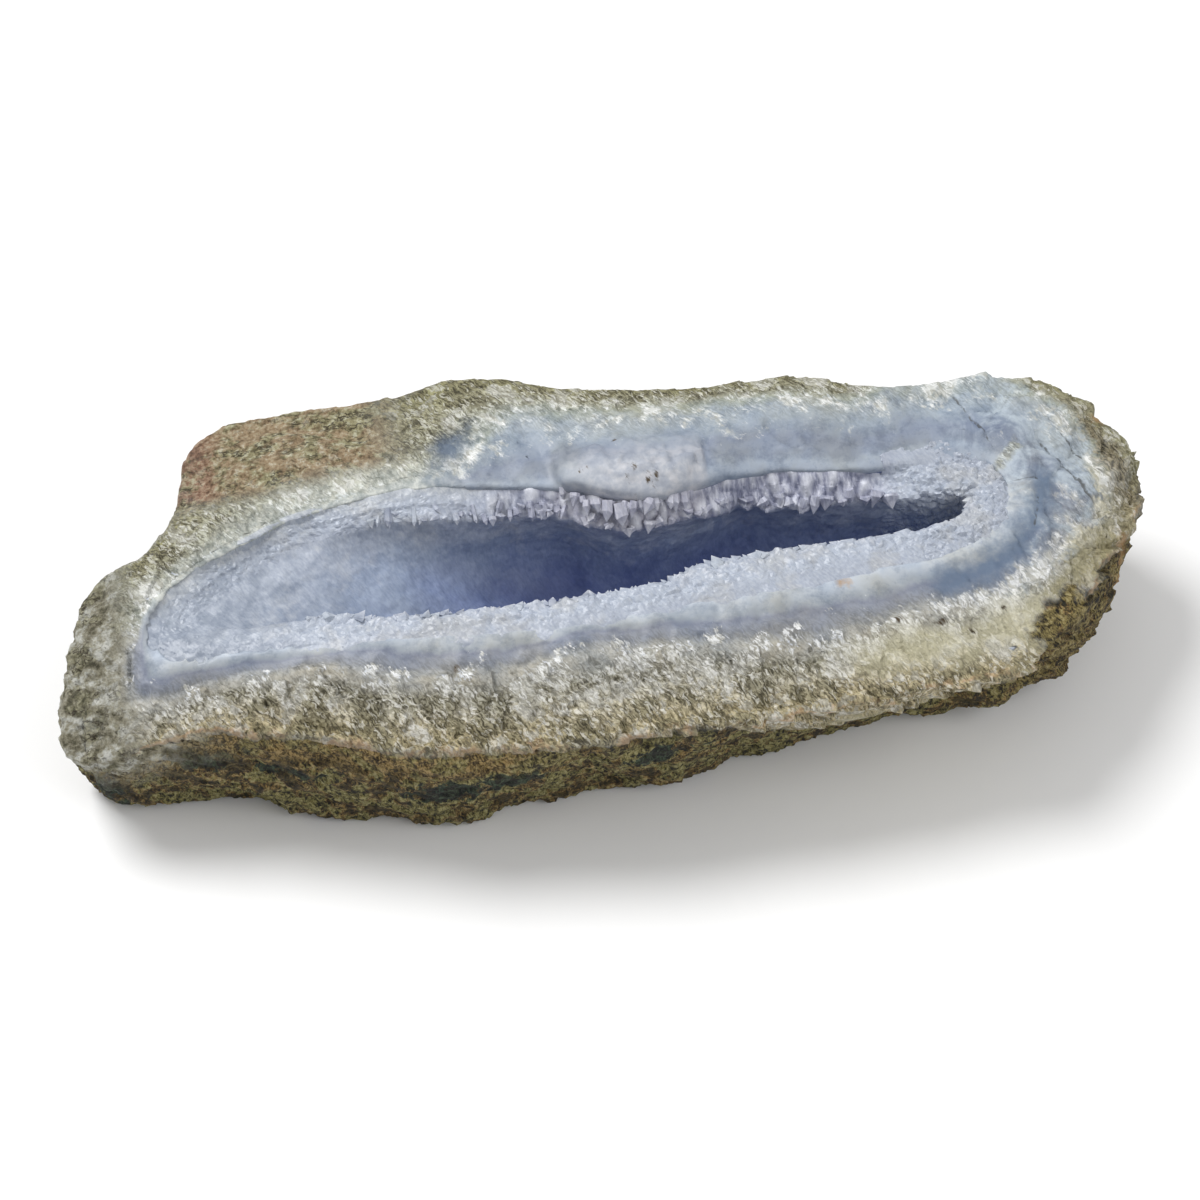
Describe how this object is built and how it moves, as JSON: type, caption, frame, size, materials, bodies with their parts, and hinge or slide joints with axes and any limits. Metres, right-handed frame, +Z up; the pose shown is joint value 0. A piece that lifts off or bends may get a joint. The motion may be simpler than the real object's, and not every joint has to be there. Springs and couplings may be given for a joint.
{
  "type": "blue lace agate geode",
  "caption": "Half of a natural geode lying on its rough back, broken face up: a blue agate band round a long hollow lined with quartz crystals.",
  "frame": {"origin": "middle of the bounding box, on the surface that the geode rests on", "axes": "+X along the geode, towards its pointed end; +Y across it, towards its higher rim; +Z up, out of the broken face"},
  "size_m": [0.1854, 0.0784, 0.0411],
  "materials": {
    "stone": "rough olive rind, beige fibrous quartz band and smooth milky blue chalcedony",
    "quartz": "glassy, translucent quartz points, indigo in the depth of the hollow"
  },
  "bodies": {
    "root": {"geode_stone": "stone", "crystal_crust": "quartz"}
  },
  "joints": []
}
